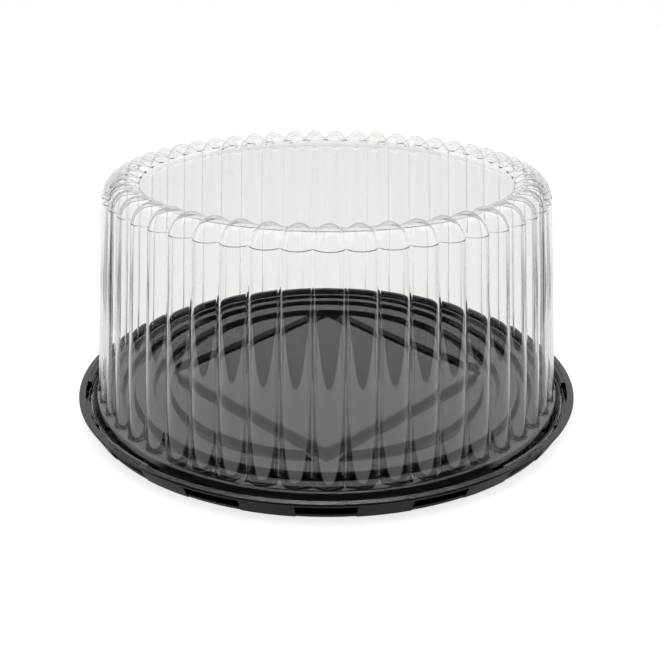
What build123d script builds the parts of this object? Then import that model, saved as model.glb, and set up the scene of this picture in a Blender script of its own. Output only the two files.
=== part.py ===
from build123d import *
import math
import os

os.makedirs("parts", exist_ok=True)

# A round cake keeper: a black formed tray with a shallow seat around its rim, and a clear fluted
# dome that drops into the seat. Both are thin formed sheets. All sizes are in millimetres, the
# origin is on the table under the middle of the tray, and the dome lifts straight up.
#
# Each sheet is the space under its upper surface less the space under its lower one. The lower
# surface is the upper one moved inwards by the sheet's wall.

# Tray: rim and skirt
tray_wall = 0.6
rim_radius = 155.0
rim_height = 10.6
rim_width = 3.4
rim_drop = 1.4
rim_edge = 0.8
foot_inset = 5.5

# Tray: seat for the dome, ridge inside it and gutter, from the rim inwards
seat_height = 4.9
seat_width = 2.5
seat_wall_run = 2.6
ridge_height = 9.6
ridge_width = 2.2
ridge_wall_run = 2.7
gutter_depth = 2.0
gutter_width = 1.8
gutter_outer_run = 1.6
gutter_inner_run = 2.0

# Tray: floor, with two round grooves and a square one
floor_height = 8.9
ledge_width = 5.4
outer_ring_width = 8.7
ring_gap = 10.4
inner_ring_width = 11.0
square_corner_gap = 3.9
square_groove_width = 11.0
square_corner_radius = 3.0
groove_depth = 4.7
groove_run = 2.0
form_radius = 0.5

# Tray: snap windows around the skirt, each with a lug over the dome's flange
snap_count = 16
window_angle = 11.7
window_top = 8.4
window_bottom = 2.2
lip_inset = 0.5
lug_height = 9.3
lug_top_inset = 0.3

# Dome: foot, wall and top
dome_wall = 0.5
flange_width = 0.9
bend_overhang = 0.8
foot_slope_angle = 33.0
crest_inset = 0.7
wall_draft = 5.99
shoulder_height = 130.2
shoulder_radius = 11.9
panel_height = 135.5
dome_form_radius = 0.6

# Dome: flutes around the wall, with the depth of each from crest to valley
flute_count = 51
flute_depth_low = 5.7
flute_depth_high = 5.1
flute_foot_drop = 1.0
valley_fill = 0.3
dome_turn = 0.58

# Clearances between the dome and the tray
seat_gap = 0.3
flange_clearance = 0.3
snap_clearance = 0.5
ridge_clearance = 1.1

# How far the solids that only cut or are cut away run past the sheet
overrun = 10.0

# Radii around the tray, from the rim inwards
rim_outer = rim_radius - rim_edge
rim_inner = rim_outer - rim_width
seat_outer = rim_inner - seat_wall_run
seat_inner = seat_outer - seat_width
ridge_outer = seat_inner - ridge_wall_run
ridge_inner = ridge_outer - ridge_width
gutter_outer = ridge_inner - gutter_outer_run
gutter_inner = gutter_outer - gutter_width
ledge_outer = gutter_inner - gutter_inner_run
outer_ring_end = ledge_outer - ledge_width
outer_ring_start = outer_ring_end - outer_ring_width
inner_ring_end = outer_ring_start - ring_gap
inner_ring_start = inner_ring_end - inner_ring_width
foot_radius = rim_radius - foot_inset

# Heights on the tray
skirt_top = rim_height - rim_drop
gutter_bottom = floor_height - gutter_depth
groove_bottom = floor_height - groove_depth

# Dome flange in the seat, and the lugs that stand around it
dome_radius = seat_outer - flange_clearance
lug_radius = dome_radius + snap_clearance
flange_underside = seat_height + seat_gap
flange_top = flange_underside + dome_wall
flange_inner = dome_radius - flange_width
bend_radius = ridge_outer + bend_overhang
bend_height = ridge_height + ridge_clearance + dome_wall

# Line of the flute crests up the wall, and the middle of the rounded shoulder that it runs into
draft = math.radians(wall_draft)
half_pitch = math.pi / flute_count
flute_foot_height = bend_height - flute_foot_drop


def crest_radius(height):
    """Return the radius of the flute crests at a height on the wall."""
    return bend_radius - crest_inset - (height - bend_height) * math.tan(draft)


def flute_radius(height, depth):
    """Return the radius of a flute's round back, from its depth at a height on the wall."""
    valley = crest_radius(height) - depth
    reach = crest_radius(height) - valley * math.cos(half_pitch)
    half_width = valley * math.sin(half_pitch)
    return (reach**2 + half_width**2) / (2 * reach)


flute_radius_low = flute_radius(flute_foot_height, flute_depth_low)
flute_radius_high = flute_radius(shoulder_height, flute_depth_high)
shoulder_middle = crest_radius(shoulder_height) - shoulder_radius / math.cos(draft)
flute_length = (shoulder_height - flute_foot_height) / math.cos(draft)

# Valley between two flutes: up the wall, then over the shoulder down to the top panel
valley_low = crest_radius(flute_foot_height) - flute_depth_low + valley_fill
valley_high = crest_radius(shoulder_height) - flute_depth_high + valley_fill
valley_slope = (valley_low - valley_high) / (shoulder_height - flute_foot_height)
shoulder_half_width = shoulder_middle * math.sin(half_pitch)
valley_arc_radius = (
    shoulder_radius
    - flute_radius_high
    + math.sqrt(flute_radius_high**2 - shoulder_half_width**2)
    + valley_fill
)
valley_arc_middle = valley_high - valley_arc_radius
valley_arc_rise = panel_height - shoulder_height
panel_radius = valley_arc_middle - math.sqrt(valley_arc_radius**2 - valley_arc_rise**2)

# Top of the foot's slope, where it meets the valleys
foot_slope = math.tan(math.radians(foot_slope_angle))
valley_at_bend = valley_low - (bend_height - flute_foot_height) * valley_slope
foot_slope_rise = (bend_radius - valley_at_bend) * foot_slope / (1 - valley_slope * foot_slope)
foot_slope_top = bend_height + foot_slope_rise
foot_slope_end = valley_at_bend - foot_slope_rise * valley_slope


def ring_groove(start, end):
    """Return the outline points of one round groove in the floor."""
    return [
        (start, floor_height),
        (start + groove_run, groove_bottom),
        (end - groove_run, groove_bottom),
        (end, floor_height),
    ]


def clip_box(bottom):
    """Keep the part of a section that is outside the axis and above the bottom."""
    with Locations((0, bottom)):
        Rectangle(
            rim_radius + overrun,
            shoulder_height + 2 * shoulder_radius - bottom,
            align=(Align.MIN, Align.MIN),
            mode=Mode.INTERSECT,
        )


def square_groove(grow):
    """Return the space of the square groove, grown by the sheet's wall on every side."""
    lean = groove_run / groove_depth
    lean_angle = math.degrees(math.atan(lean))
    side_grow = grow * (math.sqrt(1 + lean**2) - lean)
    inner_side = math.sqrt(2) * (inner_ring_start - square_corner_gap)
    outer_side = inner_side + 2 * square_groove_width
    with BuildPart() as groove:
        with BuildSketch(Plane.XY.offset(groove_bottom - grow)):
            outer_width = outer_side - 2 * groove_run + 2 * side_grow
            RectangleRounded(outer_width, outer_width, square_corner_radius, rotation=45)
        extrude(amount=groove_depth + grow, taper=-lean_angle)
        with BuildSketch(Plane.XY.offset(groove_bottom - grow)):
            inner_width = inner_side + 2 * groove_run - 2 * side_grow
            RectangleRounded(inner_width, inner_width, square_corner_radius, rotation=45)
        extrude(amount=groove_depth + grow, taper=lean_angle, mode=Mode.SUBTRACT)
    return groove.part


def ring_slice(outline, angle, grow):
    """Return a slice of a ring around the tray, grown by the sheet's wall on every side."""
    spread = angle + 2 * math.degrees(grow / lug_radius)
    start = math.radians(-spread / 2)
    section = Plane(
        origin=(0, 0, 0),
        x_dir=(math.cos(start), math.sin(start), 0),
        z_dir=(math.sin(start), -math.cos(start), 0),
    )
    with BuildPart() as piece:
        with BuildSketch(section):
            with BuildLine():
                Polyline(*outline, close=True)
            make_face()
            if grow > 0:
                offset(amount=grow, kind=Kind.INTERSECTION, mode=Mode.REPLACE)
        revolve(axis=Axis.Z, revolution_arc=spread)
    return piece.part


def flute(wall):
    """Return one flute, moved inwards by the wall: a tapered back and its round shoulder."""
    across = Plane(
        origin=(shoulder_middle, 0, shoulder_height),
        x_dir=(math.cos(draft), 0, math.sin(draft)),
        z_dir=(-math.sin(draft), 0, math.cos(draft)),
    )
    high_radius = flute_radius_high - wall
    low_radius = flute_radius_low - wall
    with BuildPart() as piece:
        with BuildSketch(across):
            with Locations((shoulder_radius - flute_radius_high, 0)):
                Circle(high_radius)
            Rectangle(
                2 * shoulder_radius,
                4 * high_radius,
                align=(Align.MIN, Align.CENTER),
                mode=Mode.INTERSECT,
            )
        revolve(axis=Axis(across.origin, (0, -1, 0)), revolution_arc=180)
        with BuildSketch(across):
            with Locations((shoulder_radius - flute_radius_high, 0)):
                Circle(high_radius)
        with BuildSketch(across.offset(-flute_length)):
            with Locations((shoulder_radius - flute_radius_low, 0)):
                Circle(low_radius)
        loft()
    return piece.part


# Closed section of everything under the tray's upper surface. The inner ring's own edge stays
# sharp, as the square groove that crosses it does.
tray_outline = [
    (-overrun, floor_height),
    *ring_groove(inner_ring_start, inner_ring_end),
    *ring_groove(outer_ring_start, outer_ring_end),
    (ledge_outer, floor_height),
    (gutter_inner, gutter_bottom),
    (gutter_outer, gutter_bottom),
    (ridge_inner, ridge_height),
    (ridge_outer, ridge_height),
    (seat_inner, seat_height),
    (seat_outer, seat_height),
    (rim_inner, rim_height),
    (rim_outer, rim_height),
    (rim_radius, rim_height - rim_drop / 2),
    (rim_outer, skirt_top),
    (foot_radius, 0),
    (foot_radius, -overrun),
    (-overrun, -overrun),
]

with BuildSketch() as tray_section:
    with BuildLine():
        Polyline(*tray_outline, close=True)
    make_face()
    fillet(
        [v for v in tray_section.vertices() if v.X > inner_ring_start + groove_run / 2 and v.Y > 0],
        radius=form_radius,
    )

with BuildSketch(Plane.XZ) as tray_top_face:
    add(tray_section.sketch)
    clip_box(0)

with BuildSketch(Plane.XZ) as tray_under_face:
    add(tray_section.sketch)
    offset(amount=-tray_wall, kind=Kind.INTERSECTION, mode=Mode.REPLACE)
    clip_box(-overrun)

# Outline of the recess that opens each snap window, and of the lug above the seat
skirt_lean = (rim_outer - foot_radius) / skirt_top
lip_foot = foot_radius - lip_inset
window_outline = [
    (lip_foot - overrun * skirt_lean, -overrun),
    (lip_foot + window_bottom * skirt_lean, window_bottom),
    (lug_radius + tray_wall, window_top),
    (rim_radius + overrun, window_top),
    (rim_radius + overrun, -overrun),
]
lug_outline = [
    (lug_radius, seat_height - tray_wall / 2),
    (lug_radius, lug_height),
    (rim_inner + lug_top_inset, rim_height - lug_top_inset),
    (rim_inner + lug_top_inset, seat_height - tray_wall / 2),
]
lug_angle = window_angle + 2 * math.degrees(tray_wall / lug_radius)
square_groove_space = square_groove(0)
square_groove_grown = square_groove(tray_wall)
window_space = ring_slice(window_outline, window_angle, 0)
window_grown = ring_slice(window_outline, window_angle, tray_wall)
lug = ring_slice(lug_outline, lug_angle, 0)

with BuildPart() as tray_under:
    revolve(tray_under_face.sketch, axis=Axis.Z)
    add(square_groove_grown, mode=Mode.SUBTRACT)
    with PolarLocations(0, snap_count, start_angle=-90):
        add(window_grown, mode=Mode.SUBTRACT)

with BuildPart() as base_tray:
    revolve(tray_top_face.sketch, axis=Axis.Z)
    with PolarLocations(0, snap_count, start_angle=-90):
        add(lug)
    add(square_groove_space, mode=Mode.SUBTRACT)
    with PolarLocations(0, snap_count, start_angle=-90):
        add(window_space, mode=Mode.SUBTRACT)
    add(tray_under.part, mode=Mode.SUBTRACT)

base_tray.part.label = "base_tray"
export_step(base_tray.part, "parts/base_tray.step")

# Section of everything under the dome's upper surface, leaving out the flutes
with BuildSketch() as dome_section:
    with BuildLine():
        Polyline(
            (foot_slope_end, foot_slope_top),
            (bend_radius, bend_height),
            (flange_inner, flange_top),
            (dome_radius, flange_top),
            (dome_radius, -overrun),
            (-overrun, -overrun),
            (-overrun, panel_height),
            (panel_radius, panel_height),
        )
        ThreePointArc(
            (panel_radius, panel_height),
            (valley_arc_middle, shoulder_height + valley_arc_radius),
            (valley_high, shoulder_height),
        )
        Line((valley_high, shoulder_height), (foot_slope_end, foot_slope_top))
    make_face()
    formed = [(foot_slope_end, foot_slope_top), (bend_radius, bend_height), (flange_inner, flange_top)]
    fillet(
        [v for v in dome_section.vertices() if any(math.dist((v.X, v.Y), p) < 0.01 for p in formed)],
        radius=dome_form_radius,
    )

with BuildSketch(Plane.XZ) as dome_top_face:
    add(dome_section.sketch)
    clip_box(flange_underside)

with BuildSketch(Plane.XZ) as dome_under_face:
    add(dome_section.sketch)
    offset(amount=-dome_wall, kind=Kind.INTERSECTION, mode=Mode.REPLACE)
    clip_box(-overrun)

outer_flute = flute(0)
inner_flute = flute(dome_wall)

with BuildPart() as dome_under:
    revolve(dome_under_face.sketch, axis=Axis.Z)
    with PolarLocations(0, flute_count, start_angle=dome_turn - 90):
        add(inner_flute)

with BuildPart() as dome_lid:
    revolve(dome_top_face.sketch, axis=Axis.Z)
    with PolarLocations(0, flute_count, start_angle=dome_turn - 90):
        add(outer_flute)
    add(dome_under.part, mode=Mode.SUBTRACT)

dome_lid.part.label = "dome_lid"
export_step(dome_lid.part, "parts/dome_lid.step")
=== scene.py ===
import logging
import math
from dataclasses import dataclass
from enum import Enum
from typing import Callable, Sequence

import bpy
from mathutils import Matrix, Vector


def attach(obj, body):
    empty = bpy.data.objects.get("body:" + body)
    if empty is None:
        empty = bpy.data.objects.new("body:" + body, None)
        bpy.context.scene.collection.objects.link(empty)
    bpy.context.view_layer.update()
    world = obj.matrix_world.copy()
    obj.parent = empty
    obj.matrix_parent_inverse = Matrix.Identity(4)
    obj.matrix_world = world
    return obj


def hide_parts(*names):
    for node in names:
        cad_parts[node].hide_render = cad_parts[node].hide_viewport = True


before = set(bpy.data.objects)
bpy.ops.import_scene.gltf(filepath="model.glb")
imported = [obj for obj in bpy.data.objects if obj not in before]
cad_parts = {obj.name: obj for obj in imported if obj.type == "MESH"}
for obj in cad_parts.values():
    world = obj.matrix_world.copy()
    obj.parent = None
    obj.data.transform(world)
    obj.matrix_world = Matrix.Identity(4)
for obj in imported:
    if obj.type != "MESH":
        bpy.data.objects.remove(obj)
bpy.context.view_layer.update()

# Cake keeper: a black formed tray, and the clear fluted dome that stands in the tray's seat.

MM = 0.001
WHITE = (1.0, 1.0, 1.0, 1.0)
WELD_DISTANCE = 0.002 * MM
SMOOTH_ANGLE = math.radians(60.0)
# A round corner takes at most this share of the straight stretch on either side of it.
CORNER_SHARE = 0.45
# Number of times that a search halves its span.
HALVINGS = 36

Point = tuple[float, float]
Outline = list[Point]
Colour = tuple[float, float, float, float]

log = logging.getLogger("cake_keeper")


class Body(Enum):
    """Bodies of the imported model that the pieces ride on."""

    TRAY = "tray"
    DOME = "dome"


class Node(Enum):
    """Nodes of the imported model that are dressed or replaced."""

    TRAY = "base_tray"
    DOME = "dome_lid"


class Slot(Enum):
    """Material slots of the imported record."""

    CLEAR = "clear_sheet"


def toward(start: Point, end: Point, distance: float) -> Point:
    """Return a point on the straight way between two others.

    Args:
        start: Point that the way starts from.
        end: Point that the way leads to.
        distance: How far from the start the point lies.

    Returns:
        The point, which is the start itself where the way has no length.
    """
    span = math.dist(start, end)
    share = distance / span if span else 0.0
    return (start[0] + (end[0] - start[0]) * share, start[1] + (end[1] - start[1]) * share)


def corner_curve(before: Point, corner: Point, after: Point, reach: float, steps: int) -> Outline:
    """Return a round corner between two straight stretches.

    Args:
        before: Point that the first stretch comes from.
        corner: Sharp corner where the stretches would meet.
        after: Point that the second stretch goes to.
        reach: How far from the corner the curve starts and ends.
        steps: Number of spans in the curve.

    Returns:
        The curve's points, one more than its spans.
    """
    first = toward(corner, before, min(reach, CORNER_SHARE * math.dist(corner, before)))
    last = toward(corner, after, min(reach, CORNER_SHARE * math.dist(corner, after)))
    curve = []
    for step in range(steps + 1):
        t = step / steps
        near, middle, far = (1 - t) ** 2, 2 * t * (1 - t), t**2
        curve.append(tuple(a * near + b * middle + c * far for a, b, c in zip(first, corner, last)))
    return curve


def smooth_step(value: float) -> float:
    """Return a value from 0 to 1 eased at both ends."""
    value = min(max(value, 0.0), 1.0)
    return value * value * (3 - 2 * value)


def smooth_max(first: float, second: float, blend: float) -> float:
    """Return the larger of two values, raised by up to a quarter of the blend where they meet."""
    overlap = max(blend - abs(first - second), 0.0) / blend
    return max(first, second) + overlap * overlap * blend / 4


def solve(error: Callable[[float], float], low: float, high: float) -> float:
    """Return where a function crosses zero between two values, by halving the span.

    Args:
        error: Function that changes sign once between low and high.
        low: One end of the span.
        high: The other end of the span.

    Returns:
        The value where the function is zero.
    """
    low_sign = error(low) > 0
    for _ in range(HALVINGS):
        middle = (low + high) / 2
        if (error(middle) > 0) == low_sign:
            low = middle
        else:
            high = middle
    return (low + high) / 2


def deselect_all() -> None:
    """Leave object mode with nothing selected."""
    if bpy.context.mode != "OBJECT":
        bpy.ops.object.mode_set(mode="OBJECT")
    bpy.ops.object.select_all(action="DESELECT")


def select_only(*pieces: bpy.types.Object) -> None:
    """Select the pieces and nothing else.

    Args:
        *pieces: The pieces, of which the first one becomes the active one.
    """
    deselect_all()
    for piece in pieces:
        piece.select_set(True)
    bpy.context.view_layer.objects.active = pieces[0]


def join(pieces: Sequence[bpy.types.Object]) -> bpy.types.Object:
    """Join several pieces into one.

    Args:
        pieces: The pieces to join.

    Returns:
        The first piece, which now holds all of them.
    """
    select_only(*pieces)
    bpy.ops.object.join()
    return bpy.context.view_layer.objects.active


def turned_copies(piece: bpy.types.Object, count: int) -> list[bpy.types.Object]:
    """Return a piece and its copies, spread evenly around the upright axis.

    Args:
        piece: The piece that is modelled once.
        count: Number of pieces around the axis.

    Returns:
        The piece and its copies, each with its own mesh.
    """
    pieces = [piece]
    for index in range(1, count):
        copy = piece.copy()
        copy.data = piece.data.copy()
        copy.data.transform(Matrix.Rotation(math.tau * index / count, 4, "Z"))
        bpy.context.scene.collection.objects.link(copy)
        pieces.append(copy)
    return pieces


def grid_sheet(name: str, rows: Sequence[Sequence[Vector]]) -> bpy.types.Object:
    """Return a grid primitive shaped to rows of points.

    Args:
        name: Name of the piece.
        rows: Rows of points, all of one length.

    Returns:
        The shaped piece.
    """
    across = len(rows[0])
    deselect_all()
    bpy.ops.mesh.primitive_grid_add(x_subdivisions=across - 1, y_subdivisions=len(rows) - 1, size=1)
    piece = bpy.context.view_layer.objects.active
    piece.name = name
    for index, vertex in enumerate(piece.data.vertices):
        vertex.co = rows[index // across][index % across]
    return piece


def select_vertices(piece: bpy.types.Object, test: Callable[[Vector], bool]) -> None:
    """Go to edit mode with only some of a piece's vertices selected.

    Args:
        piece: The piece to edit.
        test: Test of a vertex's place, true for those to select.
    """
    select_only(piece)
    bpy.ops.object.mode_set(mode="EDIT")
    bpy.ops.mesh.select_mode(type="VERT")
    bpy.ops.mesh.select_all(action="DESELECT")
    bpy.ops.object.mode_set(mode="OBJECT")
    for vertex in piece.data.vertices:
        vertex.select = test(vertex.co)
    bpy.ops.object.mode_set(mode="EDIT")


def weld(piece: bpy.types.Object) -> None:
    """Merge the vertices that lie together, and turn every face outwards.

    Args:
        piece: The piece to weld.
    """
    select_only(piece)
    bpy.ops.object.mode_set(mode="EDIT")
    bpy.ops.mesh.select_all(action="SELECT")
    bpy.ops.mesh.remove_doubles(threshold=WELD_DISTANCE)
    bpy.ops.mesh.normals_make_consistent(inside=False)
    bpy.ops.object.mode_set(mode="OBJECT")


def thicken(piece: bpy.types.Object, wall: float) -> None:
    """Give a sheet its wall, below the surface that is modelled.

    Args:
        piece: The sheet.
        wall: Thickness of the wall.
    """
    select_only(piece)
    bpy.ops.object.modifier_add(type="SOLIDIFY")
    modifier = piece.modifiers[-1]
    modifier.thickness = wall
    modifier.offset = -1
    bpy.ops.object.modifier_apply(modifier=modifier.name)


def finish_piece(
    piece: bpy.types.Object, material: bpy.types.Material, body: Body, node: Node
) -> None:
    """Shade a piece, dress it and put it on its body in place of its node.

    Args:
        piece: The finished mesh.
        material: Its finish.
        body: Body that it rides on.
        node: Node that it stands for.
    """
    select_only(piece)
    bpy.ops.object.shade_smooth_by_angle(angle=SMOOTH_ANGLE)
    piece.data.materials.clear()
    piece.data.materials.append(material)
    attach(piece, body.value)
    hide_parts(node.value)
    deselect_all()
    log.info("%s: %d faces, rides on %s", piece.name, len(piece.data.polygons), body.value)


class Nodes:
    """A node tree with short calls to add and link its nodes."""

    def __init__(self, tree: bpy.types.NodeTree) -> None:
        """Keep the tree."""
        self.tree = tree

    def add(self, kind: str, **values: object) -> bpy.types.Node:
        """Add a node and set its properties, or its inputs by name.

        Args:
            kind: Name of the node's type, without its prefix.
            **values: Properties, or inputs with spaces written as underscores.

        Returns:
            The new node.
        """
        node = self.tree.nodes.new("ShaderNode" + kind)
        for key, value in values.items():
            if hasattr(node, key):
                setattr(node, key, value)
            else:
                node.inputs[key.replace("_", " ")].default_value = value
        return node

    def link(self, source: bpy.types.NodeSocket, target: bpy.types.NodeSocket) -> None:
        """Link one socket to another."""
        self.tree.links.new(source, target)

    def math(self, operation: str, first: object, second: object = 0.0) -> bpy.types.NodeSocket:
        """Add a math node.

        Args:
            operation: What it does with its values.
            first: First value, a socket or a number.
            second: Second value, a socket or a number.

        Returns:
            The result's socket.
        """
        node = self.add("Math", operation=operation)
        for socket, value in zip(node.inputs, (first, second)):
            if isinstance(value, bpy.types.NodeSocket):
                self.link(value, socket)
            else:
                socket.default_value = value
        return node.outputs[0]

    def ramp(self, value: bpy.types.NodeSocket, start: Point, end: Point) -> bpy.types.NodeSocket:
        """Add a smooth ramp between two levels.

        Args:
            value: The value that the ramp follows.
            start: Value and level where it starts.
            end: Value and level where it ends.

        Returns:
            The level's socket.
        """
        node = self.add("MapRange", interpolation_type="SMOOTHSTEP")
        node.inputs["From Min"].default_value, node.inputs["To Min"].default_value = start
        node.inputs["From Max"].default_value, node.inputs["To Max"].default_value = end
        self.link(value, node.inputs["Value"])
        return node.outputs["Result"]

    def mix_colours(
        self, factor: bpy.types.NodeSocket, first: Colour, second: Colour
    ) -> bpy.types.NodeSocket:
        """Add a node that mixes two plain colours.

        Args:
            factor: Share of the second colour.
            first: Colour where the factor is 0.
            second: Colour where the factor is 1.

        Returns:
            The mixed colour's socket.
        """
        node = self.add("Mix", data_type="RGBA")
        self.link(factor, node.inputs["Factor"])
        inputs = [socket for socket in node.inputs if socket.type == "RGBA"]
        inputs[0].default_value = first
        inputs[1].default_value = second
        return next(socket for socket in node.outputs if socket.type == "RGBA")

    def emission(self, strength: bpy.types.NodeSocket) -> bpy.types.NodeSocket:
        """Add a shader that gives off white light.

        Args:
            strength: Level of the light.

        Returns:
            The shader's socket.
        """
        node = self.add("Emission", Color=WHITE)
        self.link(strength, node.inputs["Strength"])
        return node.outputs[0]

    def mix_shaders(
        self, factor: bpy.types.NodeSocket, first: bpy.types.NodeSocket, second: bpy.types.NodeSocket
    ) -> bpy.types.NodeSocket:
        """Add a node that mixes two shaders.

        Args:
            factor: Share of the second shader.
            first: Shader where the factor is 0.
            second: Shader where the factor is 1.

        Returns:
            The mixed shader's socket.
        """
        node = self.add("MixShader")
        for source, socket in zip((factor, first, second), node.inputs):
            self.link(source, socket)
        return node.outputs[0]


def new_material(name: str) -> tuple[bpy.types.Material, Nodes, bpy.types.Node]:
    """Make an empty node material.

    Args:
        name: Name of the material.

    Returns:
        The material, its nodes and its output node.
    """
    material = bpy.data.materials.new(name)
    material.use_nodes = True
    material.node_tree.nodes.clear()
    nodes = Nodes(material.node_tree)
    return material, nodes, nodes.add("OutputMaterial")


@dataclass(frozen=True)
class FormedSurface:
    """Surface that both sheets share: slow waves, fine grain and specks of dust.

    A size is a number of waves for each metre. Dust lies where its noise is above its start.
    """

    wave_detail: float = 1.0
    wave_roughness: float = 0.4
    grain_detail: float = 2.0
    grain_roughness: float = 0.6
    dust_size: float = 900.0
    dust_detail: float = 3.0
    dust_roughness: float = 0.7
    dust_start: float = 0.68
    dust_full: float = 0.76

    def build(self) -> bpy.types.NodeTree:
        """Build the node group.

        Returns:
            A group with the inputs Wave Size and Grain Size, in waves for each metre, and
            Grain Share, the grain's height beside that of the waves. Its outputs are Height
            and Dust.
        """
        group = bpy.data.node_groups.new("formed_surface", "ShaderNodeTree")
        for name in ("Wave Size", "Grain Size", "Grain Share"):
            group.interface.new_socket(name, in_out="INPUT", socket_type="NodeSocketFloat")
        for name in ("Height", "Dust"):
            group.interface.new_socket(name, in_out="OUTPUT", socket_type="NodeSocketFloat")
        nodes = Nodes(group)
        start = group.nodes.new("NodeGroupInput")
        end = group.nodes.new("NodeGroupOutput")
        place = nodes.add("TexCoord")
        waves = nodes.add("TexNoise", Detail=self.wave_detail, Roughness=self.wave_roughness)
        grain = nodes.add("TexNoise", Detail=self.grain_detail, Roughness=self.grain_roughness)
        dust = nodes.add(
            "TexNoise", Scale=self.dust_size, Detail=self.dust_detail, Roughness=self.dust_roughness
        )
        for texture in (waves, grain, dust):
            nodes.link(place.outputs["Object"], texture.inputs["Vector"])
        nodes.link(start.outputs["Wave Size"], waves.inputs["Scale"])
        nodes.link(start.outputs["Grain Size"], grain.inputs["Scale"])
        fine = nodes.math("MULTIPLY", grain.outputs["Fac"], start.outputs["Grain Share"])
        nodes.link(nodes.math("ADD", waves.outputs["Fac"], fine), end.inputs["Height"])
        specks = nodes.add("MapRange", From_Min=self.dust_start, From_Max=self.dust_full)
        nodes.link(dust.outputs["Fac"], specks.inputs["Value"])
        nodes.link(specks.outputs["Result"], end.inputs["Dust"])
        return group


@dataclass(frozen=True)
class Relief:
    """Waves and grain that forming leaves in one of the sheets, with their sizes as the shared
    surface takes them and the height of the waves as the depth.
    """

    wave_size: float
    grain_size: float
    grain_share: float
    depth: float

    def place(
        self, nodes: Nodes, surface: bpy.types.NodeTree, shader: bpy.types.Node
    ) -> bpy.types.Node:
        """Place the shared surface in a material, and give its height to the shader.

        Args:
            nodes: Nodes of the material.
            surface: The shared surface's group.
            shader: Shader that gets the relief.

        Returns:
            The placed group's node.
        """
        sheet = nodes.add(
            "Group",
            node_tree=surface,
            Wave_Size=self.wave_size,
            Grain_Size=self.grain_size,
            Grain_Share=self.grain_share,
        )
        bump = nodes.add("Bump", Strength=1.0, Distance=self.depth)
        nodes.link(sheet.outputs["Height"], bump.inputs["Height"])
        nodes.link(bump.outputs["Normal"], shader.inputs["Normal"])
        return sheet


@dataclass(frozen=True)
class ClearSheetFinish:
    """Clear glossy sheet of the dome."""

    tint: Colour = (0.995, 0.996, 0.993, 1.0)
    roughness: float = 0.0
    index: float = 1.5
    relief: Relief = Relief(wave_size=90.0, grain_size=420.0, grain_share=0.12, depth=0.01 * MM)

    def build(self, surface: bpy.types.NodeTree) -> bpy.types.Material:
        """Build the material.

        Args:
            surface: The shared surface's group.

        Returns:
            The material.
        """
        material, nodes, output = new_material("clear_formed_sheet")
        shader = nodes.add(
            "BsdfPrincipled",
            Base_Color=self.tint,
            Roughness=self.roughness,
            IOR=self.index,
            Transmission_Weight=1.0,
        )
        self.relief.place(nodes, surface, shader)
        nodes.link(shader.outputs["BSDF"], output.inputs["Surface"])
        return material


@dataclass(frozen=True)
class BlackSheetFinish:
    """Black glossy sheet of the tray, with a little dust."""

    colour: Colour = (0.0035, 0.0035, 0.0038, 1.0)
    dust_colour: Colour = (0.05, 0.05, 0.05, 1.0)
    roughness: float = 0.05
    dust_roughness: float = 0.3
    index: float = 1.59
    relief: Relief = Relief(wave_size=110.0, grain_size=900.0, grain_share=0.06, depth=0.025 * MM)

    def build(self, surface: bpy.types.NodeTree) -> bpy.types.Material:
        """Build the material.

        Args:
            surface: The shared surface's group.

        Returns:
            The material.
        """
        material, nodes, output = new_material("black_formed_sheet")
        shader = nodes.add("BsdfPrincipled", IOR=self.index)
        sheet = self.relief.place(nodes, surface, shader)
        colour = nodes.mix_colours(sheet.outputs["Dust"], self.colour, self.dust_colour)
        nodes.link(colour, shader.inputs["Base Color"])
        rough = nodes.add("MapRange", To_Min=self.roughness, To_Max=self.dust_roughness)
        nodes.link(sheet.outputs["Dust"], rough.inputs["Value"])
        nodes.link(rough.outputs["Result"], shader.inputs["Roughness"])
        nodes.link(shader.outputs["BSDF"], output.inputs["Surface"])
        return material


@dataclass
class BaseTray:
    """Black tray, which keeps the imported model's own shape."""

    node: Node = Node.TRAY
    body: Body = Body.TRAY

    def build(self, material: bpy.types.Material) -> bpy.types.Object:
        """Dress the tray.

        Args:
            material: Finish of the tray.

        Returns:
            The tray's node.
        """
        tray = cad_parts[self.node.value]
        tray.data.materials.clear()
        tray.data.materials.append(material)
        log.info("%s: %d faces, rides on %s", tray.name, len(tray.data.polygons), self.body.value)
        return tray


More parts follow.
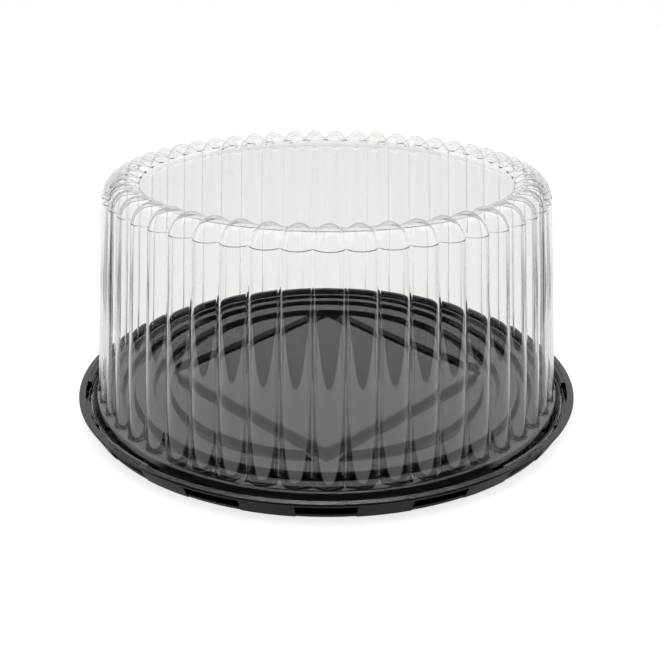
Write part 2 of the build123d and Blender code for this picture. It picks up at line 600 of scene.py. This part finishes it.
@dataclass
class DomeLid:
    """Clear dome: panel, ring of knobs with lands between them, fluted wall, foot and flange.

    The knobs are the rounded tops of the flutes. They end in a narrow ledge at the top of the
    wall. The ring is the level circle that their rounding is centred on. An angle is measured
    around the upright axis from the middle of a flute, a lift up from level as seen from the
    ring, and a drop down the wall from the ring.
    """

    # Sheet, which forming has drawn thin
    wall: float = 0.3 * MM

    # Ring, and the flutes around it
    ring_radius: float = 118.65 * MM
    ring_height: float = 130.2 * MM
    flute_count: int = 51
    turn: float = math.radians(0.58)

    # Fluted wall
    wall_draft: float = math.radians(5.99)
    lobe_radius_low: float = 8.99 * MM
    lobe_radius_high: float = 8.26 * MM
    valley_blend: float = 4.0 * MM

    # Knobs, whose width is measured at a share of their radius, and the lands between them
    shoulder_radius: float = 11.9 * MM
    width_share: float = 0.8
    knob_half_width: float = 7.0 * MM
    knob_blend: float = 1.4 * MM
    land_height: float = 137.4 * MM

    # Ledge under the knobs, and the lifts between which they take the wall's section
    ledge_height: float = 132.0 * MM
    ledge_width: float = 0.1 * MM
    ledge_round: float = 0.15 * MM
    ledge_fade_low: float = math.radians(12.0)
    ledge_fade_high: float = math.radians(55.0)

    # Panel, foot and flange
    panel_height: float = 135.5 * MM
    panel_start: float = 105.0 * MM
    panel_edge: float = 109.0 * MM
    panel_round: float = 0.25 * MM
    foot_slope: float = math.radians(33.0)
    bend: Point = (143.8 * MM, 11.2 * MM)
    flange_start: Point = (147.0 * MM, 5.7 * MM)
    flange_outer: float = 147.9 * MM
    form_round: float = 0.9 * MM

    # Rows and columns of the mesh. A support is how far from a corner a row keeps the long
    # face beside it shaded flat.
    knob_columns: int = 6
    valley_columns: int = 6
    knob_rows: int = 10
    knob_spread: float = 1.5
    wall_rows: int = 3
    crease_steps: int = 2
    form_steps: int = 3
    panel_support: float = 0.5 * MM
    ledge_support: float = 0.6 * MM
    foot_support: float = 1.2 * MM

    # Where the searches for the wall's section, the ledge and the foot start and end
    reach_guess: float = 9.0 * MM
    reach_rounds: int = 4
    ledge_search: float = 8.0 * MM
    foot_search: Point = (90.0 * MM, 130.0 * MM)

    # How far outside the panel's start a vertex still counts as lying on it
    panel_margin: float = 0.05 * MM

    @property
    def half_pitch(self) -> float:
        """Angle from the middle of a flute to the valley beside it."""
        return math.pi / self.flute_count

    def lobe_radius(self, drop: float) -> float:
        """Return the radius of the flutes' round section, which grows steadily with the drop."""
        length = (self.ring_height - self.bend[1]) / math.cos(self.wall_draft)
        return self.lobe_radius_high + (self.lobe_radius_low - self.lobe_radius_high) * drop / length

    def lobe(self, angle: float, radius: float, depth: float) -> Point:
        """Return how far a lobe's surface stands from the shoulder ring, and its set-back.

        Args:
            angle: Angle around the dome from the middle of the lobe.
            radius: Radius of the lobe's round section.
            depth: Distance from the upright axis, near enough.

        Returns:
            The distance from the ring, which beside the lobe is that of its middle line,
            and how far the point lies behind the one in the middle of the lobe.
        """
        across = min(depth * math.sin(angle), radius)
        reach = self.shoulder_radius - radius + math.sqrt(radius**2 - across**2)
        return reach, depth * (1 - math.cos(angle))

    def wall_reach(self, angle: float, drop: float, radius: float) -> float:
        """Return how far the fluted wall stands out from the ring's line.

        Args:
            angle: Angle around the dome from the middle of the flute.
            drop: Distance down the wall from the ring.
            radius: Radius of the flutes there.

        Returns:
            The distance, square to the wall's draft.
        """
        middle_line = self.ring_radius + drop * math.sin(self.wall_draft)
        depth = middle_line + self.reach_guess
        for _ in range(self.reach_rounds):
            reaches = []
            for side in (angle, 2 * self.half_pitch - angle):
                reach, behind = self.lobe(side, radius, depth)
                reaches.append(reach + behind * math.cos(self.wall_draft))
            reach = smooth_max(*reaches, self.valley_blend)
            depth = middle_line + reach * math.cos(self.wall_draft)
        return reach

    def wall_point(self, angle: float, drop: float) -> Point:
        """Return a point of the wall.

        Args:
            angle: Angle around the dome from the middle of the flute.
            drop: Distance down the wall from the ring.

        Returns:
            Its distance from the axis and its height.
        """
        reach = self.wall_reach(angle, drop, self.lobe_radius(drop))
        return (
            self.ring_radius + reach * math.cos(self.wall_draft) + drop * math.sin(self.wall_draft),
            self.ring_height + reach * math.sin(self.wall_draft) - drop * math.cos(self.wall_draft),
        )

    def above_ledge(self, angle: float, drop: float) -> float:
        """Return how far the wall, at a drop, is above the ledge."""
        return self.wall_point(angle, drop)[1] - self.ledge_height

    def above_slope(self, angle: float, drop: float) -> float:
        """Return how far the wall, at a drop, is above the foot's slope."""
        out, height = self.wall_point(angle, drop)
        return height - self.bend[1] - (self.bend[0] - out) * math.tan(self.foot_slope)

    def knob_distance(self, lift: float) -> float:
        """Return how far from the upright axis a knob's width is measured."""
        return self.ring_radius + self.width_share * self.shoulder_radius * math.cos(lift)

    def knob_reach(self, angle: float, lift: float) -> float:
        """Return how far the shoulder stands out from its ring.

        Args:
            angle: Angle around the dome from the middle of the knob.
            lift: Angle up from level, seen from the ring.

        Returns:
            The distance from the ring: the knob's arch or the land beside it, which turn into
            the wall's section further down, set in by the ledge.
        """
        land = (self.land_height - self.ring_height) / math.sin(max(lift, math.pi / 2))
        across = min(self.knob_distance(lift) * math.sin(angle) / self.knob_half_width, 1.0)
        arch = land + (self.shoulder_radius - land) * (1 - across**2)
        top = smooth_max(arch, land - self.knob_blend / 4, self.knob_blend)
        side = self.wall_reach(angle, 0.0, self.lobe_radius(0.0)) - self.ledge_width
        faded = (lift - self.ledge_fade_low) / (self.ledge_fade_high - self.ledge_fade_low)
        return side + (top - side) * smooth_step(faded)

    def knob_point(self, angle: float, lift: float) -> Point:
        """Return the shoulder's distance from the axis and height, at an angle and a lift."""
        reach = self.knob_reach(angle, lift)
        return (self.ring_radius + reach * math.cos(lift), self.ring_height + reach * math.sin(lift))

    def knob_outline(self, angle: float) -> Outline:
        """Return the shoulder's outline.

        Args:
            angle: Angle around the dome from the middle of the knob.

        Returns:
            Points from the panel's side of the shoulder down to the ledge's inner corner.
        """
        panel_lift = math.pi - math.asin((self.land_height - self.ring_height) / self.shoulder_radius)
        ledge_lift = solve(
            lambda lift: self.knob_point(angle, lift)[1] - self.ledge_height, 0.0, math.pi / 2
        )
        outline = []
        for row in range(self.knob_rows + 1):
            share = (row / self.knob_rows) ** self.knob_spread
            outline.append(self.knob_point(angle, panel_lift + (ledge_lift - panel_lift) * share))
        return outline

    def wall_outline(self, angle: float) -> Outline:
        """Return the wall's outline.

        Args:
            angle: Angle around the dome from the middle of the flute.

        Returns:
            Points from the ledge's outer corner down to the corner where the foot starts.
        """
        ledge = solve(lambda drop: self.above_ledge(angle, drop), -self.ledge_search, self.ledge_search)
        foot = solve(lambda drop: self.above_slope(angle, drop), *self.foot_search)
        first = ledge + self.ledge_support
        last = foot - self.form_round - self.foot_support
        drops = [
            first + (last - first) * row / (self.wall_rows - 1) for row in range(self.wall_rows)
        ]
        return [self.wall_point(angle, drop) for drop in (ledge, *drops, foot)]

    def column(self, angle: float) -> Outline:
        """Return the dome's outline from its panel to its flange, at one angle of a flute.

        Args:
            angle: Angle around the dome from the middle of the flute.

        Returns:
            Points as distance from the axis and height.
        """
        knob = self.knob_outline(angle)
        wall = self.wall_outline(angle)
        panel = (self.panel_start, self.panel_height)
        panel_edge = (self.panel_edge, self.panel_height)
        flange_tip = (self.flange_outer, self.flange_start[1])
        outline = [panel, toward(panel_edge, panel, self.panel_support)]
        outline += corner_curve(panel, panel_edge, knob[0], self.panel_round, self.crease_steps)
        outline += corner_curve(panel_edge, knob[0], knob[1], self.panel_round, self.crease_steps)
        outline += knob[1:-1]
        outline += [toward(knob[-1], knob[-2], self.ledge_support)]
        outline += corner_curve(knob[-2], knob[-1], wall[0], self.ledge_round, self.crease_steps)
        outline += corner_curve(knob[-1], wall[0], wall[1], self.ledge_round, self.crease_steps)
        outline += wall[1:-1]
        outline += corner_curve(wall[-2], wall[-1], self.bend, self.form_round, self.form_steps)
        outline += corner_curve(wall[-1], self.bend, self.flange_start, self.form_round, self.form_steps)
        outline += corner_curve(self.bend, self.flange_start, flange_tip, self.form_round, self.form_steps)
        return outline + [flange_tip]

    def column_angles(self) -> list[float]:
        """Return the angles of a flute's columns.

        Returns:
            Angles from the middle of the flute to the valley beside it, which lie closer
            together towards the knob's edge and towards the valley.
        """
        edge = self.knob_half_width / self.knob_distance(0.0)
        quarter = math.pi / 2
        knob = [edge * math.sin(quarter * step / self.knob_columns) for step in range(self.knob_columns + 1)]
        valley = [
            edge + (self.half_pitch - edge) * math.sin(quarter * step / self.valley_columns)
            for step in range(1, self.valley_columns + 1)
        ]
        return knob + valley

    def flute(self) -> bpy.types.Object:
        """Model one flute, which faces the view.

        Returns:
            The flute's sheet, from the valley on one side of it to the other.
        """
        angles = self.column_angles()
        columns = [self.column(angle) for angle in angles]
        middle = self.turn - math.pi / 2
        rows = []
        for row in range(len(columns[0])):
            points = []
            for side in range(1 - len(angles), len(angles)):
                out, height = columns[abs(side)][row]
                angle = middle + math.copysign(angles[abs(side)], side)
                points.append(Vector((out * math.cos(angle), out * math.sin(angle), height)))
            rows.append(points)
        return grid_sheet("dome_lid_shell", rows)

    def build(self, material: bpy.types.Material) -> bpy.types.Object:
        """Build the dome, dress it and put it on its body.

        Args:
            material: Finish of the dome.

        Returns:
            The dome as one closed sheet.
        """
        dome = join(turned_copies(self.flute(), self.flute_count))
        weld(dome)
        rim = self.panel_start + self.panel_margin
        select_vertices(dome, lambda place: math.hypot(place.x, place.y) < rim)
        bpy.ops.mesh.edge_face_add()
        bpy.ops.mesh.select_all(action="SELECT")
        bpy.ops.mesh.normals_make_consistent(inside=False)
        bpy.ops.object.mode_set(mode="OBJECT")
        thicken(dome, self.wall)
        finish_piece(dome, material, Body.DOME, Node.DOME)
        return dome


@dataclass
class PhotoCamera:
    """Camera at the photograph's viewing angle."""

    place: tuple[float, float, float] = (0.0, -529.1 * MM, 259.9 * MM)
    tilt: float = math.radians(67.30)
    roll: float = math.radians(0.14)
    lens: float = 49.44
    sensor_width: float = 36.0
    shift_x: float = 0.0052

    def build(self) -> bpy.types.Object:
        """Make the camera and set it as the scene's camera.

        Returns:
            The camera.
        """
        data = bpy.data.cameras.new("photo_camera")
        data.lens = self.lens
        data.sensor_width = self.sensor_width
        data.shift_x = self.shift_x
        camera = bpy.data.objects.new("photo_camera", data)
        bpy.context.scene.collection.objects.link(camera)
        turn = Matrix.Rotation(self.tilt, 4, "X") @ Matrix.Rotation(self.roll, 4, "Z")
        camera.matrix_world = Matrix.Translation(self.place) @ turn
        bpy.context.scene.camera = camera
        return camera


@dataclass
class Studio:
    """Pale table and backdrop in a dim room, with a small light behind and a broad one above.

    The view sees white all around the object, and through its clear walls. The glossy sheets
    mirror the table as a bright disc with a painted shadow close to the tray, dim under its rim
    and dark in a ring around it, and the room as a backdrop behind and beside the object.
    Places on the table are distances from its middle. Places in the room are parts, sideways,
    back or up, of a direction of length 1.
    """

    # Table, as the view sees it
    table_size: float = 6.0
    table_colour: Colour = (0.8, 0.8, 0.8, 1.0)
    near_edge: float = 175 * MM
    far_edge: float = 700 * MM
    near_glow: float = 0.8
    far_glow: float = 1.0

    # Table and room through the clear walls, for rays that no surface has mirrored on their way
    through_tone: Colour = (1.0, 1.0, 0.975, 1.0)
    unmirrored_below: float = 0.5

    # Table, as the glossy sheets mirror it, with a painted shadow: dim under the tray's rim and dark in a
    # ring around the tray, which the snap windows also mirror
    shade_under_rim_edge: float = 155 * MM
    shade_under_rim_fade: float = 4 * MM
    shade_under_rim_tone: float = 0.24
    shadow_ring_fade: float = 10 * MM
    bright_edge: float = 375 * MM
    bright_fade: float = 18 * MM
    bright_tone: float = 0.95
    rear_start: float = 50 * MM
    rear_full: float = 250 * MM

    # Room and its backdrop
    room_tone: float = 0.03
    side_share: float = 0.8
    backdrop_start: float = 0.5
    backdrop_full: float = 0.72
    backdrop_tone: float = 0.86
    low_tone: float = 0.66
    low_edge: float = 0.27
    high_edge: float = 0.42

    # Small light behind, which marks the far rims
    rear_light_low: float = 0.546
    rear_light_high: float = 0.6
    rear_light_half_width: float = 0.24
    rear_light_soft: float = 0.005
    rear_light_tone: float = 2.0

    # Broad light above
    overhead_size: Point = (1.7, 1.1)
    overhead_height: float = 1.7
    overhead_power: float = 7.0

    def through_rays(self, nodes: Nodes) -> bpy.types.NodeSocket:
        """Mark the rays that come from the view straight through clear walls.

        Args:
            nodes: The tree that the nodes are added to.

        Returns:
            The mark, which is 1 for such rays and 0 for others.
        """
        path = nodes.add("LightPath")
        straight = nodes.math("LESS_THAN", path.outputs["Glossy Depth"], self.unmirrored_below)
        return nodes.math("MULTIPLY", path.outputs["Is Transmission Ray"], straight)

    def table_seen(
        self, nodes: Nodes, lit: bpy.types.NodeSocket, away: bpy.types.NodeSocket
    ) -> bpy.types.NodeSocket:
        """Return the table's shader for the view.

        Args:
            nodes: The tree that the nodes are added to.
            lit: Shader of the lit table.
            away: Distance from the table's middle.

        Returns:
            The lit table with a glow that brings it to white.
        """
        glow = nodes.ramp(away, (self.near_edge, self.near_glow), (self.far_edge, self.far_glow))
        both = nodes.add("AddShader")
        nodes.link(lit, both.inputs[0])
        nodes.link(nodes.emission(glow), both.inputs[1])
        return both.outputs[0]

    def table_mirrored(
        self, nodes: Nodes, back: bpy.types.NodeSocket, away: bpy.types.NodeSocket
    ) -> bpy.types.NodeSocket:
        """Return the table's shader for what glossy surfaces mirror.

        Args:
            nodes: The tree that the nodes are added to.
            back: Distance behind the table's middle.
            away: Distance from the table's middle.

        Returns:
            A painted shadow, dim under the object's rim and dark in a ring around it, and then a
            bright disc, which behind the object goes on to the backdrop.
        """
        shade_under_rim_end = self.shade_under_rim_edge + self.shade_under_rim_fade
        shadow_ring_end = self.near_edge + self.shadow_ring_fade
        bright_end = self.bright_edge + self.bright_fade
        # Painted shadow: a dim spot under the tray's rim, then a dark ring around the tray before the bright
        # disc.
        under = nodes.ramp(away, (self.shade_under_rim_edge, self.shade_under_rim_tone), (shade_under_rim_end, 0.0))
        beyond = nodes.ramp(away, (self.near_edge, 0.0), (shadow_ring_end, self.bright_tone))
        disc = nodes.ramp(away, (self.bright_edge, 1.0), (bright_end, self.room_tone))
        rear = nodes.ramp(back, (self.rear_start, 0.0), (self.rear_full, 1.0))
        near = nodes.math("MAXIMUM", under, beyond)
        far = nodes.math("MAXIMUM", disc, rear)
        return nodes.emission(nodes.math("MULTIPLY", near, far))

    def table_material(self) -> bpy.types.Material:
        """Build the table's material.

        Returns:
            A material that looks different to the view, through the clear walls, in glossy
            surfaces and to all other rays.
        """
        material, nodes, output = new_material("pale_table")
        place = nodes.add("NewGeometry")
        distance = nodes.add("VectorMath", operation="LENGTH")
        nodes.link(place.outputs["Position"], distance.inputs[0])
        spot = nodes.add("SeparateXYZ")
        nodes.link(place.outputs["Position"], spot.inputs[0])
        away = distance.outputs["Value"]
        lit = nodes.add("BsdfDiffuse", Color=self.table_colour).outputs[0]
        seen = self.table_seen(nodes, lit, away)
        mirrored = self.table_mirrored(nodes, spot.outputs["Y"], away)
        through = nodes.add("Emission", Color=self.through_tone).outputs[0]
        path = nodes.add("LightPath")
        shiny = nodes.mix_shaders(path.outputs["Is Glossy Ray"], lit, mirrored)
        clear = nodes.mix_shaders(self.through_rays(nodes), shiny, through)
        mix = nodes.mix_shaders(path.outputs["Is Camera Ray"], clear, seen)
        nodes.link(mix, output.inputs["Surface"])
        return material

    def table(self) -> bpy.types.Object:
        """Make the table.

        Returns:
            The table, which isn't part of the object.
        """
        deselect_all()
        bpy.ops.mesh.primitive_plane_add(size=self.table_size)
        table = bpy.context.view_layer.objects.active
        table.name = "studio_table"
        table.data.materials.append(self.table_material())
        deselect_all()
        return table

    def rear_light(
        self,
        nodes: Nodes,
        across: bpy.types.NodeSocket,
        up: bpy.types.NodeSocket,
        behind: bpy.types.NodeSocket,
    ) -> bpy.types.NodeSocket:
        """Return the level of the small light behind the object.

        Args:
            nodes: The tree that the nodes are added to.
            across: Sideways part of the direction, without its sign.
            up: Upward part of the direction.
            behind: Share of the backdrop in that direction.

        Returns:
            The light's level, which is 0 outside it.
        """
        soft = self.rear_light_soft
        bottom = nodes.ramp(up, (self.rear_light_low - soft, 0.0), (self.rear_light_low + soft, 1.0))
        top = nodes.ramp(up, (self.rear_light_high - soft, 1.0), (self.rear_light_high + soft, 0.0))
        side = nodes.ramp(across, (0.0, self.rear_light_tone), (self.rear_light_half_width, 0.0))
        height = nodes.math("MULTIPLY", bottom, top)
        return nodes.math("MULTIPLY", height, nodes.math("MULTIPLY", side, behind))

    def room_level(self, nodes: Nodes) -> bpy.types.NodeSocket:
        """Return the level of the room's light in each direction.

        Args:
            nodes: The tree that the nodes are added to.

        Returns:
            The dim room, with its backdrop and the small light behind.
        """
        place = nodes.add("TexCoord")
        parts = nodes.add("SeparateXYZ")
        nodes.link(place.outputs["Generated"], parts.inputs[0])
        up = parts.outputs["Z"]
        across = nodes.math("ABSOLUTE", parts.outputs["X"])
        turned = nodes.math("ADD", parts.outputs["Y"], nodes.math("MULTIPLY", across, self.side_share))
        behind = nodes.ramp(turned, (self.backdrop_start, 0.0), (self.backdrop_full, 1.0))
        rise = nodes.ramp(up, (self.low_edge, self.low_tone), (self.high_edge, self.backdrop_tone))
        sweep = nodes.math("MAXIMUM", nodes.math("MULTIPLY", behind, rise), self.room_tone)
        return nodes.math("ADD", sweep, self.rear_light(nodes, across, up, behind))

    def room(self) -> bpy.types.World:
        """Make the world around the table.

        Returns:
            The world: white from the view and through the clear walls, and the room's own
            light for the rest.
        """
        world = bpy.data.worlds.new("studio_room")
        world.use_nodes = True
        world.node_tree.nodes.clear()
        nodes = Nodes(world.node_tree)
        output = nodes.add("OutputWorld")
        path = nodes.add("LightPath")
        through = self.through_rays(nodes)
        seen = nodes.math("MAXIMUM", path.outputs["Is Camera Ray"], through)
        dimmed = nodes.math("MULTIPLY", self.room_level(nodes), nodes.math("SUBTRACT", 1.0, seen))
        light = nodes.add("Background")
        nodes.link(nodes.math("ADD", dimmed, seen), light.inputs["Strength"])
        nodes.link(nodes.mix_colours(through, WHITE, self.through_tone), light.inputs["Color"])
        nodes.link(light.outputs[0], output.inputs["Surface"])
        bpy.context.scene.world = world
        return world

    def overhead_light(self) -> bpy.types.Object:
        """Hang the broad soft light over the object.

        Returns:
            The light.
        """
        data = bpy.data.lights.new("overhead_light", "AREA")
        data.shape = "RECTANGLE"
        data.size, data.size_y = self.overhead_size
        data.energy = self.overhead_power
        lamp = bpy.data.objects.new("overhead_light", data)
        lamp.location = (0.0, 0.0, self.overhead_height)
        bpy.context.scene.collection.objects.link(lamp)
        return lamp

    def build(self) -> None:
        """Make the table, the room and the light, and set how the view shows colours."""
        self.table()
        self.room()
        self.overhead_light()
        bpy.context.scene.view_settings.view_transform = "Standard"


def main() -> None:
    """Build the scene: camera, studio, finishes, tray and dome."""
    logging.basicConfig(level=logging.INFO, format="%(name)s: %(message)s")
    PhotoCamera().build()
    Studio().build()
    surface = FormedSurface().build()
    black = BlackSheetFinish().build(surface)
    clear = ClearSheetFinish().build(surface)
    BaseTray().build(black)
    DomeLid().build(clear)


if __name__ == "__main__":
    main()
